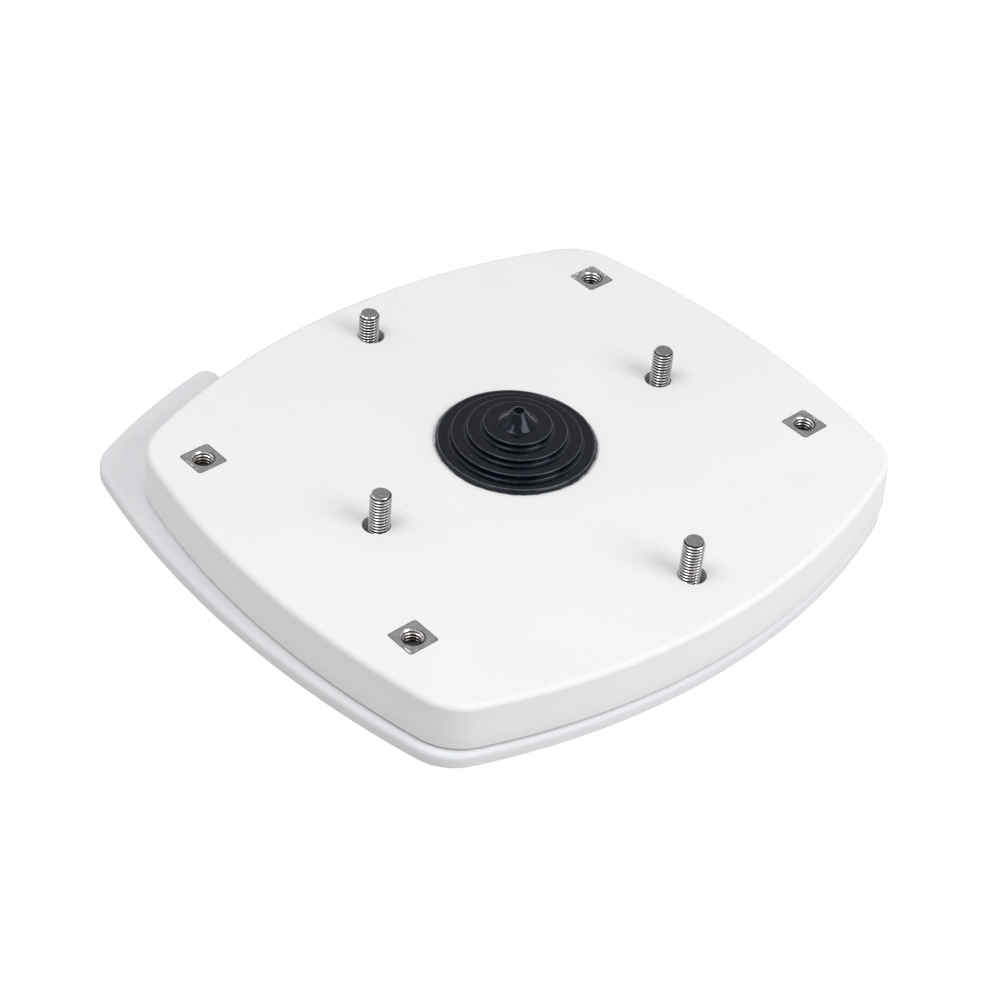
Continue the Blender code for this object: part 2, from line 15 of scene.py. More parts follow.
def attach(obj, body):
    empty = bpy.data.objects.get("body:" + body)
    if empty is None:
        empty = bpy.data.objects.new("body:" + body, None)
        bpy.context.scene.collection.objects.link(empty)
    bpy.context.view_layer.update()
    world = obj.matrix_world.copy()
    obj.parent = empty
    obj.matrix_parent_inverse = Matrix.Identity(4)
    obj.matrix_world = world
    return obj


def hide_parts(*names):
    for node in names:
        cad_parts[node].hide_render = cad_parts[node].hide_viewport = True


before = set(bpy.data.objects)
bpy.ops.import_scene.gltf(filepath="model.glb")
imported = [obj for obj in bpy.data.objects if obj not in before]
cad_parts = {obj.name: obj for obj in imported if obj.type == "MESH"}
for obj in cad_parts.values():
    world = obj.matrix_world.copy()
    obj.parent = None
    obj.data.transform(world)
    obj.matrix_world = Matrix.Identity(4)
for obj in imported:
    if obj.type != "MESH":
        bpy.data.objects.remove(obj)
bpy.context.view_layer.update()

MM = 0.001
TURN = 2 * math.pi

# Heights.
PLATE_TOP = 7.0
FOOT = 8.2
TOP = 30.5
SKIN = 25.5

# Places, from the origin under the middle of the plate.
BODY_AT = np.array([2.6, 3.0])
NUT_REACH_X = 70.75
NUT_REACH_Y = 116.5
NUTS = {
    f"{end}_{side}": BODY_AT + (sx * NUT_REACH_X, sy * NUT_REACH_Y)
    for end, sx in (("notch", -1), ("plain", 1))
    for side, sy in (("left", 1), ("right", -1))
}
STUD_MIDDLE = BODY_AT + (7.6, 0.6)
STUD_REACH_X = 105.1
STUD_REACH_Y = 84.9
PATTERN_TURN = math.radians(0.55)
PATTERN_X = np.array([math.cos(PATTERN_TURN), math.sin(PATTERN_TURN)])
PATTERN_Y = np.array([-math.sin(PATTERN_TURN), math.cos(PATTERN_TURN)])
STUD_HOLES = {
    "notch": STUD_MIDDLE - STUD_REACH_X * PATTERN_X,
    "left": STUD_MIDDLE + STUD_REACH_Y * PATTERN_Y,
    "plain": STUD_MIDDLE + STUD_REACH_X * PATTERN_X,
    "right": STUD_MIDDLE - STUD_REACH_Y * PATTERN_Y,
}
STUDS = {
    name: STUD_HOLES[name] + off
    for name, off in {
        "notch": (-0.80, -0.93),
        "left": (0.62, 0.70),
        "plain": (-0.82, -0.92),
        "right": (0.82, 0.92),
    }.items()
}
STUD_TOPS = {"notch": 43.3, "left": 47.1, "plain": 49.6, "right": 48.0}
GROMMET_AT = BODY_AT + (2.3, 1.0)

# Fixings: 3/8 inch studs with 16 threads to the inch, and square nuts.
THREAD_PITCH = 1.5875
STUD_RADIUS = 4.75
STUD_THREAD_DEPTH = 0.92
STUD_CHAMFER = 0.95
STUD_LOW = 0.3
NUT_HALF = 7.35
NUT_HEIGHT = 8.0
NUT_BORE = 4.02
NUT_MOUTH = 5.2
NUT_THREAD_DEPTH = 0.82

# Ribs across the body and the plate, from the middle of the body.
CROSS_RIB_LOW = -84.3
CROSS_RIB_HIGH = 85.5


# ---------------------------------------------------------------- mesh making


def grid_faces(rows, columns, wrap_rows=False, wrap_columns=True):
    """Quads over a rows x columns grid of points, each row run anticlockwise and rows going up."""
    r = np.arange(rows if wrap_rows else rows - 1)[:, None]
    c = np.arange(columns if wrap_columns else columns - 1)[None, :]
    r2, c2 = (r + 1) % rows, (c + 1) % columns
    quads = np.stack(
        [r * columns + c, r * columns + c2, r2 * columns + c2, r2 * columns + c], -1
    )
    return quads.reshape(-1, 4)


def make_piece(name, points, faces, finish, sharp=35.0, caps=(), marks=None):
    """A mesh from points in millimetres and quads, plus flat end faces given as lists of points.
    Marks are named values, one for each point, that a finish reads."""
    mesh = bpy.data.meshes.new(name)
    polygons = [tuple(face) for face in faces.tolist()] + [tuple(cap) for cap in caps]
    mesh.from_pydata((points.reshape(-1, 3) * MM).tolist(), [], polygons)
    for label, values in (marks or {}).items():
        layer = mesh.attributes.new(label, "FLOAT", "POINT")
        layer.data.foreach_set("value", values.astype(np.float32).ravel())
    maker = bmesh.new()
    maker.from_mesh(mesh)
    bmesh.ops.remove_doubles(maker, verts=maker.verts, dist=1e-7)
    bmesh.ops.recalc_face_normals(maker, faces=maker.faces)
    maker.to_mesh(mesh)
    maker.free()
    return finish_piece(name, mesh, finish, sharp)


def finish_piece(name, mesh, finish, sharp):
    """An object at the origin from a mesh, smooth but for edges past the sharp angle."""
    mesh.shade_smooth()
    mesh.set_sharp_from_angle(angle=math.radians(sharp))
    mesh.materials.clear()
    if finish:
        mesh.materials.append(finish)
    piece = bpy.data.objects.new(name, mesh)
    bpy.context.scene.collection.objects.link(piece)
    return piece


def rounded_path(corners, steps=6):
    """Points (radius, z) through corners given as (radius, z, round): each corner becomes an arc
    that starts and ends at the round's tangent points on the two straight runs."""
    path = []
    count = len(corners)
    for i, (x, y, size) in enumerate(corners):
        here = np.array([x, y], float)
        if size <= 0:
            path.append(here)
            continue
        before = np.array(corners[(i - 1) % count][:2], float) - here
        after = np.array(corners[(i + 1) % count][:2], float) - here
        a, b = before / np.hypot(*before), after / np.hypot(*after)
        half = math.acos(np.clip(a @ b, -1, 1)) / 2
        reach = size / math.tan(half)
        middle = a + b
        centre = here + middle / np.hypot(*middle) * size / math.sin(half)
        start, end = here + a * reach - centre, here + b * reach - centre
        t = np.linspace(0, 1, steps + 1)[:, None]
        swing = math.pi - 2 * half
        arc = (np.sin((1 - t) * swing) * start + np.sin(t * swing) * end) / math.sin(swing)
        path.extend(centre + arc)
    return np.array(path)


def with_near_points(path, near=0.4):
    """The same closed path with two more points on each long straight run, a little way in from
    its ends, so that a mark on a corner fades out beside it."""
    points = []
    for here, after in zip(path, np.roll(path, -1, 0)):
        run = after - here
        length = np.hypot(*run)
        points.append(here)
        if length > 3 * near:
            points += [here + run * near / length, after - run * near / length]
    return np.array(points)


def turned(name, path, at, finish, steps=128, sharp=35.0, wobble=None, marks=None):
    """A closed (radius, z) path carried round a vertical axis:
    x = at_x + r cos t, y = at_y + r sin t, with an optional small change of r by angle, and an
    optional mark for each point of the path."""
    angle = np.arange(steps) * TURN / steps
    radius = np.repeat(path[:, :1], steps, 1)
    if wobble is not None:
        radius = radius + wobble(radius, angle[None, :])
    points = np.stack(
        [
            at[0] + radius * np.cos(angle),
            at[1] + radius * np.sin(angle),
            np.repeat(path[:, 1:], steps, 1),
        ],
        -1,
    )
    if marks:
        marks = {label: np.repeat(values[:, None], steps, 1) for label, values in marks.items()}
    return make_piece(name, points, grid_faces(len(path), steps, True), finish, sharp, marks=marks)


def thread_depth(z, angle, crest=0.14, root=0.22):
    """How deep a right-handed screw thread is at a height and angle, from 0 on the crest to 1 in
    the root: a flat crest, straight flanks and a rounded root, once each pitch."""
    phase = np.mod(z / THREAD_PITCH - angle / TURN, 1.0)
    away = np.abs(phase - 0.5) * 2
    flank = np.clip((away - crest) / (1 - crest - root), 0, 1)
    return 1 - (1 - flank) ** 1.35


def barrel(right, end, left, corner_right, corner_left, notch=None):
    """Arcs (x, y, radius, from, to, hollow) of an outline with four bulging sides, the same on both
    sides of its X axis. The sides at +X, +Y and -X are circles (x, y, radius), and each corner
    circle lies inside two of them, at radius minus its own from both centres. A notch at -X is
    (reach to +Y, reach to -Y, x of its floor, tip radius, inner radius)."""

    def corner(a, b, size, sx):
        (ax, ay, ar), (bx, by, br) = a, b
        ra, rb = ar - size, br - size
        span = math.hypot(bx - ax, by - ay)
        along = (ra**2 - rb**2 + span**2) / (2 * span)
        across = math.sqrt(ra**2 - along**2)
        ux, uy = (bx - ax) / span, (by - ay) / span
        spots = [
            (ax + ux * along + s * uy * across, ay + uy * along - s * ux * across)
            for s in (1, -1)
        ]
        return max(spots, key=lambda p: p[0] * sx + p[1])

    def heading(a, b):
        return math.atan2(b[1] - a[1], b[0] - a[0])

    cr, cl = corner(right, end, corner_right, 1), corner(left, end, corner_left, -1)
    upper = [
        (*right, 0.0, heading(right, cr), False),
        (*cr, corner_right, heading(right, cr), heading(end, cr), False),
        (*end, heading(end, cr), heading(end, cl), False),
        (*cl, corner_left, heading(end, cl), heading(left, cl), False),
    ]

    def far_end(reach):
        if notch is None:
            return [(*left, heading(left, cl), math.pi, False)]
        floor_x, tip, inner = notch[2:]
        tip_y = reach + tip
        tip_x = left[0] - math.sqrt((left[2] - tip) ** 2 - tip_y**2)
        facing = math.atan2(tip_y, tip_x - left[0])
        return [
            (*left, heading(left, cl), facing, False),
            (tip_x, tip_y, tip, facing, 1.5 * math.pi, False),
            (floor_x - inner, reach - inner, inner, 0.5 * math.pi, 0.0, True),
        ]

    reach_left, reach_right = notch[:2] if notch else (0, 0)
    lower = [(x, -y, r, -b, -a, h) for x, y, r, a, b, h in reversed(upper + far_end(reach_right))]
    return upper + far_end(reach_left) + lower


def outline(arcs, inset=0.0, at=(0.0, 0.0), long_step=3.0, turn_step=0.13):
    """Points along the arcs, moved inwards by the inset. Hollow arcs grow instead."""
    points = []
    for x, y, radius, start, end, hollow in arcs:
        sweep = abs(end - start)
        steps = max(2, int(round(max(sweep / turn_step, sweep * radius / long_step))))
        reach = radius + inset if hollow else radius - inset
        angle = np.linspace(start, end, steps + 1)
        arc = np.stack([at[0] + x + reach * np.cos(angle), at[1] + y + reach * np.sin(angle)], -1)
        points.append(arc[:-1] if start != end else arc)
    ring = np.concatenate(points)
    apart = np.hypot(*(ring - np.roll(ring, 1, 0)).T)
    return ring[apart > 0.004]


def stacked(name, rings, finish, sharp=35.0):
    """A solid through equal outlines at rising heights, given as (points, z)."""
    columns = len(rings[0][0])
    points = np.array([np.c_[ring, np.full(columns, z)] for ring, z in rings])
    last = (len(rings) - 1) * columns
    caps = [range(columns)[::-1], range(last, last + columns)]
    return make_piece(name, points, grid_faces(len(rings), columns), finish, sharp, caps)


def edge_round(radius, face_z, rising=True, steps=7, hold=0.35):
    """(inset, z) from a side wall over a quarter round on to a flat face, and a little way in."""
    turn = np.linspace(0, math.pi / 2, steps + 1)
    inset = radius * (1 - np.cos(turn))
    z = face_z - (1 if rising else -1) * radius * (1 - np.sin(turn))
    return [*zip(inset, z), (radius + hold, face_z)]


def posts(name, places, low, high, steps=96, flare=0.0):
    """A cutter of upright cylinders at (x, y, radius). With a flare, each opens at 45 degrees near
    the body's top face, to be wider by the flare there."""
    maker = bmesh.new()
    angle = np.arange(steps) * TURN / steps
    for x, y, radius in places:
        levels = [(radius, low), (radius, high)]
        if flare:
            levels = [(radius, low), (radius, TOP - flare), (radius + 10 * flare, TOP + 9 * flare)]
        loops = [
            [
                maker.verts.new(((x + r * math.cos(a)) * MM, (y + r * math.sin(a)) * MM, z * MM))
                for a in angle
            ]
            for r, z in levels
        ]
        maker.faces.new(loops[0][::-1])
        maker.faces.new(loops[-1])
        for lower, upper in zip(loops, loops[1:]):
            for i in range(steps):
                j = (i + 1) % steps
                maker.faces.new((lower[i], lower[j], upper[j], upper[i]))
    return cutter(name, maker)


def boxes(name, spans):
    """A cutter of boxes, each given by its lowest and highest corner."""
    maker = bmesh.new()
    for low, high in spans:
        made = bmesh.ops.create_cube(maker, size=1.0)
        low, high = np.array(low, float), np.array(high, float)
        bmesh.ops.scale(maker, verts=made["verts"], vec=(high - low) * MM)
        bmesh.ops.translate(maker, verts=made["verts"], vec=(high + low) / 2 * MM)
    return cutter(name, maker)


def cutter(name, maker):
    """A helper that is never rendered, from the mesh being made."""
    bmesh.ops.recalc_face_normals(maker, faces=maker.faces)
    mesh = bpy.data.meshes.new(name)
    maker.to_mesh(mesh)
    maker.free()
    helper = bpy.data.objects.new(name, mesh)
    bpy.context.scene.collection.objects.link(helper)
    helper.hide_render = True
    return helper


def carved(piece, steps, sharp=35.0):
    """Cuts or adds each helper in turn, given as (operation, helper), and keeps the result."""
    for operation, helper in steps:
        modifier = piece.modifiers.new(operation.lower(), "BOOLEAN")
        modifier.operation = operation
        modifier.solver = "EXACT"
        modifier.object = helper
    bpy.context.view_layer.update()
    depsgraph = bpy.context.evaluated_depsgraph_get()
    mesh = bpy.data.meshes.new_from_object(piece.evaluated_get(depsgraph))
    name, finish = piece.name, list(piece.data.materials)
    for _, helper in steps:
        bpy.data.objects.remove(helper)
    bpy.data.objects.remove(piece)
    return finish_piece(name, mesh, finish[0] if finish else None, sharp)


def show(piece, body, slot, *nodes):
    """Puts a new piece on its body, in place of the CAD nodes that it stands for."""
    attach(piece, body)
    if nodes:
        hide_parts(*nodes)
    return piece


# ---------------------------------------------------------------- finishes


class Finish:
    """A Principled material and short ways to add nodes to it."""

    def __init__(self, name, colour, roughness, metallic=0.0, **settings):
        self.material = bpy.data.materials.new(name)
        self.material.use_nodes = True
        self.tree = self.material.node_tree
        self.shader = self.tree.nodes["Principled BSDF"]
        self.set(self.shader, "Base Color", (*colour, 1.0))
        self.set(self.shader, "Roughness", roughness)
        self.set(self.shader, "Metallic", metallic)
        for socket, value in settings.items():
            self.set(self.shader, socket.replace("_", " "), value)
        self.place = self.add("ShaderNodeTexCoord").outputs["Object"]
        self.normal = None

    def add(self, kind, **inputs):
        node = self.tree.nodes.new(kind)
        for socket, value in inputs.items():
            self.set(node, socket.replace("_", " "), value)
        return node

    def set(self, node, socket, value):
        target = node.inputs[socket]
        if isinstance(value, bpy.types.NodeSocket):
            self.tree.links.new(value, target)
        else:
            target.default_value = value

    def noise(self, scale, detail=2.0, rough=0.5, stretch=None):
        """Noise of the given count per metre, from 0 to 1."""
        place = self.place
        if stretch:
            turn = self.add("ShaderNodeMapping", Vector=place, Scale=stretch)
            place = turn.outputs["Vector"]
        settings = {"Scale": scale, "Detail": detail, "Roughness": rough}
        return self.add("ShaderNodeTexNoise", Vector=place, **settings).outputs["Fac"]

    def mark(self, label):
        """A value that the mesh carries at each point."""
        node = self.tree.nodes.new("ShaderNodeAttribute")
        node.attribute_name = label
        return node.outputs["Fac"]

    def specks(self, scale, size):
        """Small round spots, 1 inside and 0 outside."""
        node = self.add("ShaderNodeTexVoronoi", Vector=self.place, Scale=scale)
        return self.ramp(node.outputs["Distance"], size * 0.6, size, 1.0, 0.0)

    def ramp(self, value, start, end, low=0.0, high=1.0):
        """The value stretched from start..end to low..high, and held inside it."""
        limits = {"From_Min": start, "From_Max": end, "To_Min": low, "To_Max": high}
        return self.add("ShaderNodeMapRange", Value=value, **limits).outputs["Result"]

    def math(self, operation, a, b):
        node = self.tree.nodes.new("ShaderNodeMath")
        node.operation = operation
        for index, value in enumerate((a, b)):
            if isinstance(value, bpy.types.NodeSocket):
                self.tree.links.new(value, node.inputs[index])
            else:
                node.inputs[index].default_value = value
        return node.outputs[0]

    def mix(self, factor, low, high):
        """A colour between two others."""
        node = self.tree.nodes.new("ShaderNodeMix")
        node.data_type = "RGBA"
        colours = [socket for socket in node.inputs if socket.type == "RGBA"]
        for target, value in ((node.inputs[0], factor), (colours[0], low), (colours[1], high)):
            if isinstance(value, bpy.types.NodeSocket):
                self.tree.links.new(value, target)
            else:
                target.default_value = (*value, 1.0) if isinstance(value, tuple) else value
        return next(socket for socket in node.outputs if socket.type == "RGBA")

    def bump(self, height, distance, strength=1.0):
        """Adds a relief of the given height in metres."""
        node = self.add("ShaderNodeBump", Height=height, Distance=distance, Strength=strength)
        if self.normal is not None:
            self.set(node, "Normal", self.normal)
        self.normal = node.outputs["Normal"]
        self.set(self.shader, "Normal", self.normal)

    def colour(self, value):
        self.set(self.shader, "Base Color", value)

    def roughness(self, value):
        self.set(self.shader, "Roughness", value)


def white_plastic():
    """Satin moulded plastic with a fine spark grain, faint flow mottling and a few dust specks."""
    f = Finish("white_moulded_plastic", (0.86, 0.86, 0.865), 0.66, Specular_IOR_Level=0.18)
    mottle = f.noise(28.0, 3.0)
    base = f.mix(f.ramp(mottle, 0.3, 0.7), (0.862, 0.862, 0.868), (0.878, 0.878, 0.880))
    dust = f.math("MULTIPLY", f.specks(55.0, 0.035), f.ramp(f.noise(40.0), 0.55, 0.62))
    f.colour(f.mix(f.math("MULTIPLY", dust, 0.30), base, (0.50, 0.48, 0.46)))
    f.roughness(f.ramp(f.noise(420.0, 3.0), 0.3, 0.7, 0.60, 0.72))
    f.bump(f.noise(2600.0, 2.0), 0.000012)
    f.bump(f.noise(9.0, 2.0), 0.00012)
    return f.material


def grey_plate():
    """Powder-coated casting: fine orange peel, slightly cool, with rubbed patches."""
    f = Finish("grey_powder_coat", (0.80, 0.815, 0.835), 0.55, Specular_IOR_Level=0.20)
    cloud = f.noise(16.0, 3.0)
    base = f.mix(f.ramp(cloud, 0.35, 0.65), (0.790, 0.805, 0.828), (0.812, 0.824, 0.842))
    rubbed = f.math("MULTIPLY", f.specks(38.0, 0.04), f.ramp(f.noise(33.0), 0.56, 0.63))
    f.colour(f.mix(f.math("MULTIPLY", rubbed, 0.35), base, (0.50, 0.51, 0.53)))
    f.roughness(f.ramp(f.noise(240.0, 3.0), 0.3, 0.7, 0.50, 0.62))
    f.bump(f.noise(900.0, 2.0), 0.000016)
    return f.material


def thread_steel():
    """Rolled stainless thread: bright crests, painted shade nearly black down in the thread roots,
    and fine drawing marks.
    """
    f = Finish("stainless_thread", (0.80, 0.79, 0.78), 0.17, 1.0)
    # noise that makes the painted shade in the roots uneven
    uneven_shade = f.ramp(f.noise(320.0, 3.0), 0.3, 0.7, -0.10, 0.12)
    # deep: painted shade from the mark the mesh carries for its thread roots, darkening them to
    # near black
    deep = f.ramp(f.math("ADD", f.mark("painted_shade"), uneven_shade), 0.22, 0.60)
    f.colour(f.mix(deep, (0.90, 0.885, 0.875), (0.032, 0.025, 0.021)))
    f.roughness(f.ramp(deep, 0.0, 1.0, 0.16, 0.34))
    f.bump(f.noise(5200.0, 3.0, 0.6), 0.000006)
    return f.material


def cut_end_steel():
    """Sawn end of a stud: dull mid grey, with short scratches every way."""
    f = Finish("sawn_stud_end", (0.36, 0.36, 0.36), 0.42, 1.0)
    scratch = f.noise(1500.0, 4.0, 0.7, (1.0, 0.12, 1.0))
    across = f.noise(1300.0, 4.0, 0.7, (0.12, 1.0, 1.0))
    marks = f.ramp(f.math("MAXIMUM", scratch, across), 0.48, 0.72)
    f.colour(f.mix(marks, (0.34, 0.338, 0.34), (0.62, 0.612, 0.607)))
    f.roughness(f.ramp(marks, 0.0, 1.0, 0.48, 0.30))
    f.bump(f.noise(1800.0, 3.0), 0.000012)
    return f.material


def nut_face_steel():
    """Pressed nut steel: satin face with fine scuffs, painted shade nearly black down the sides and
    in the roots of a bore's thread, and small white flakes of moulding flash caught along the
    border."""
    f = Finish("satin_nut_steel", (0.43, 0.43, 0.43), 0.44, 1.0)
    scuff = f.noise(700.0, 4.0, 0.65, (1.0, 0.25, 1.0))
    base = f.mix(f.ramp(scuff, 0.3, 0.7), (0.42, 0.417, 0.419), (0.575, 0.570, 0.567))
    # painted shade: the sides, down in the nut pocket, and the thread roots of a bore go near black
    base = f.mix(f.mark("painted_shade"), base, (0.035, 0.033, 0.032))
    near = f.ramp(f.mark("border"), 0.55, 0.90)
    stretch = f.ramp(f.noise(75.0, 1.0), 0.50, 0.56)
    flake = f.math("MULTIPLY", near, f.ramp(f.noise(520.0, 3.0, 0.6), 0.53, 0.57))
    flake = f.math("MULTIPLY", flake, stretch)
    f.colour(f.mix(flake, base, (0.86, 0.86, 0.86)))
    f.set(f.shader, "Metallic", f.ramp(flake, 0.0, 1.0, 1.0, 0.0))
    f.roughness(f.ramp(scuff, 0.3, 0.7, 0.36, 0.52))
    f.bump(f.noise(2400.0, 3.0), 0.000010)
    f.bump(f.noise(420.0, 2.0), 0.000024)
    f.bump(flake, 0.00008)
    return f.material


def spring_steel():
    """Dull phosphated spring steel."""
    f = Finish("phosphated_spring_steel", (0.20, 0.20, 0.20), 0.5, 0.9)
    f.colour(f.mix(f.noise(500.0, 4.0), (0.15, 0.15, 0.155), (0.27, 0.265, 0.26)))
    f.roughness(f.ramp(f.noise(260.0), 0.3, 0.7, 0.42, 0.6))
    f.bump(f.noise(2000.0, 3.0), 0.00001)
    return f.material


def moulded_rubber():
    """Near-black, faintly blue rubber with a fine grain, dust, and a painted highlight, paler along
    the rims, corners and wall feet.
    """
    f = Finish("moulded_rubber", (0.002, 0.003, 0.006), 0.22, Specular_IOR_Level=0.38)
    f.set(f.shader, "Specular Tint", (0.78, 0.87, 1.0, 1.0))
    bloom = f.ramp(f.noise(140.0, 4.0, 0.6), 0.42, 0.75)
    base = f.mix(bloom, (0.0006, 0.0014, 0.0042), (0.0020, 0.0034, 0.0074))
    fine = f.math("MULTIPLY", f.specks(1100.0, 0.17), f.ramp(f.noise(420.0), 0.50, 0.60))
    coarse = f.math("MULTIPLY", f.specks(520.0, 0.13), f.ramp(f.noise(260.0), 0.52, 0.60))
    dust = f.math("MAXIMUM", f.math("MULTIPLY", fine, 0.35), f.math("MULTIPLY", coarse, 0.60))
    base = f.mix(dust, base, (0.24, 0.27, 0.32))
    # painted highlight: a pale colour along the rim mark, broken up by noise
    broken = f.ramp(f.noise(330.0, 3.0, 0.6), 0.28, 0.60, 0.40, 1.0)
    f.colour(f.mix(f.math("MULTIPLY", f.mark("rim_highlight"), broken), base, (0.130, 0.145, 0.170)))
    f.roughness(f.ramp(f.noise(900.0, 3.0), 0.3, 0.7, 0.10, 0.20))
    f.bump(f.noise(2600.0, 2.0), 0.000010)
    return f.material


def seal_rubber():
    """Dull closed-cell rubber foam."""
    f = Finish("foam_seal_rubber", (0.03, 0.03, 0.032), 0.8)
    f.colour(f.mix(f.noise(900.0, 3.0), (0.020, 0.020, 0.022), (0.045, 0.045, 0.048)))
    f.bump(f.noise(2500.0, 2.0), 0.00003)
    return f.material


WHITE = white_plastic()
GREY = grey_plate()
THREAD = thread_steel()
CUT_END = cut_end_steel()
NUT_STEEL = nut_face_steel()
SPRING = spring_steel()
RUBBER = moulded_rubber()
SEAL = seal_rubber()


# ---------------------------------------------------------------- plate and body


def make_plate():
    """The barrel outline raised through rounded edges, with the ribbed recess cut underneath."""

    def arcs_at(inset, tip, inner):
        return barrel(
            (-180.5, 0.0, 325.5 - inset),
            (-6.9, 150.25 - 454.3, 454.3 - inset),
            (149.8, 0.0, 301.4 - inset),
            24.6 - inset,
            21.1 - inset,
            (87.0 + inset, 53.8 + inset, -128.4 + inset, tip, inner),
        )

    arcs = arcs_at(0.0, 6.3, 4.0)
    lower = edge_round(0.9, 0.0, rising=False, steps=4)
    upper = edge_round(2.3, PLATE_TOP, steps=8)
    rings = [(outline(arcs, inset), z) for inset, z in lower[::-1] + upper]
    plate = stacked("base_plate_casting", rings, GREY)

    inner = outline(arcs_at(9.0, 4.0, 1.0))
    recess = stacked("plate_recess", [(inner, -5.0), (inner, 2.6)], None)
    pads = [(*at, 11.45) for at in STUDS.values()] + [(*GROMMET_AT, 36.0)]
    x0, y0 = BODY_AT
    bars_x = (x0 - NUT_REACH_X, x0 + NUT_REACH_X)
    bars_y = (y0 + CROSS_RIB_LOW, y0 + CROSS_RIB_HIGH)
    bars = [((x - 2.5, -400, -9), (x + 2.5, 400, 5)) for x in bars_x]
    cross = [((-400, y - 2.5, -9), (400, y + 2.5, 5)) for y in bars_y]
    recess = carved(
        recess,
        [
            ("DIFFERENCE", posts("pads", pads, -9, 5)),
            ("DIFFERENCE", boxes("bars", bars)),
            ("DIFFERENCE", boxes("cross_bars", cross)),
        ],
    )
    holes = [(*at, 5.05) for at in STUDS.values()] + [(*GROMMET_AT, 30.0)]
    steps = [("DIFFERENCE", recess), ("DIFFERENCE", posts("plate_holes", holes, -5, 12))]
    return show(carved(plate, steps), "base", "grey_paint", "base_plate")


def body_ring(inset):
    """The body's outline at its top face, moved inwards by the inset."""
    sides = (-181.5, 0.0, 322.0), (6.5, -258.5, 405.0), (201.5, 0.0, 325.0)
    return outline(barrel(*sides, 25.0, 28.0), inset, BODY_AT)


def make_body():
    """The barrel outline raised up a slightly drafted wall and over a rounded top edge, hollow
    below with nut columns, stud pads and ribs, and pierced for studs, bolts, nuts and grommet."""
    draft = 0.9
    lower = [(-draft + 0.5, FOOT), (-draft + 0.12, FOOT + 0.12), (-draft, FOOT + 0.5)]
    rise = [(-draft * (1 - t), FOOT + 0.5 + t * 19.0) for t in (0.35, 0.7, 1.0)]
    upper = edge_round(2.6, TOP, steps=10, hold=0.5)
    rings = [(body_ring(inset), z) for inset, z in lower + rise + upper]
    body = stacked("adapter_body_moulding", rings, WHITE)

    wall = 6.0
    inner = body_ring(wall - draft)
    hollow = stacked("body_hollow", [(inner, 3.0), (inner, FOOT), (body_ring(wall), SKIN)], None)
    columns = [(*at, 13.0) for at in NUTS.values()]
    pads = [(*at, 12.3) for at in STUD_HOLES.values()]
    low = SKIN - 4.0
    x0, y0 = BODY_AT
    ribs_x = (x0 - NUT_REACH_X, x0 + NUT_REACH_X)
    ribs_y = (y0 + CROSS_RIB_LOW, y0, y0 + CROSS_RIB_HIGH)
    ribs = [((x - 1.5, -300, low), (x + 1.5, 300, TOP)) for x in ribs_x]
    cross = [((-300, y - 1.5, low), (300, y + 1.5, TOP)) for y in ribs_y]
    hollow = carved(
        hollow,
        [
            ("DIFFERENCE", posts("columns", columns, -2, TOP)),
            ("DIFFERENCE", boxes("ribs", ribs)),
            ("DIFFERENCE", boxes("cross_ribs", cross)),
            ("DIFFERENCE", posts("stud_pads", pads, low, TOP)),
        ],
    )
    ledge = body_ring(3.0 - draft)
    rebate = stacked("rebate", [(ledge, 3.0), (ledge, 9.5)], None)
    room = posts("room", [(*GROMMET_AT, 39.4)], 3, SKIN)
    neck = posts("neck", [(*GROMMET_AT, 32.0)], 3, TOP + 5)
    seat = posts("seat", [(*GROMMET_AT, 37.05)], TOP - 0.5, TOP + 5)
    through = [(*at, 6.2) for at in STUD_HOLES.values()]
    stud_holes = posts("stud_holes", through, 3, TOP, flare=0.12)
    bolt_holes = posts("bolt_holes", [(*at, 5.4) for at in NUTS.values()], 3, TOP - 4)
    cuts = [hollow, rebate, room, neck, seat, stud_holes, bolt_holes]
    angle = np.linspace(0, TURN, 144, endpoint=False)
    for name, at in NUTS.items():
        ring = square_ring(angle, NUT_HALF + 0.25, 1.35, at)
        pocket = [(ring, TOP - NUT_HEIGHT - 0.3), (ring, TOP + 5)]
        cuts.append(stacked(f"pocket_{name}", pocket, None))
    body = carved(body, [("DIFFERENCE", cut) for cut in cuts])
    return show(body, "adapter", "white_plastic", "adapter_body")


def make_seal():
    """Foot seal: a closed section carried round the body's outline, lying in the rebate, with a
    thin lip that reaches out into the gap above the plate: a dark strip put there as painted
    shade, so that the gap between body and plate reads dark."""
    # painted shade: the dark lip stands in the gap between body and plate, where shade falls
    lip = [(5.1, 7.35), (1.0, 7.3), (0.75, 7.6), (1.0, 7.9), (2.6, 7.95)]
    section = [*lip, (2.6, 9.1), (5.1, 9.1)]
    rings = [(body_ring(inset), z) for inset, z in section]
    points = np.array([np.c_[ring, np.full(len(ring), z)] for ring, z in rings])
    faces = grid_faces(len(points), len(points[0]), True)
    seal = make_piece("rubber_foot_seal", points, faces, SEAL)
    return show(seal, "adapter", "seal_rubber", "foot_seal")


# ---------------------------------------------------------------- metal


def square_ring(angle, half, corner, at):
    """A rounded square met by rays at the given angles: h / cos a on the flats, and the far side of
    the corner circle near the diagonals."""
    folded = np.abs(np.mod(angle + math.pi / 4, math.pi / 2) - math.pi / 4)
    flat = half / np.cos(folded)
    reach = math.sqrt(2) * (half - corner)
    off = folded - math.pi / 4
    inside = np.maximum(corner**2 - (reach * np.sin(off)) ** 2, 0)
    round_part = reach * np.cos(off) + np.sqrt(inside)
    on_flat = half * np.tan(folded) <= half - corner
    radius = np.where(on_flat, flat, round_part)
    return np.stack([at[0] + radius * np.cos(angle), at[1] + radius * np.sin(angle)], -1)


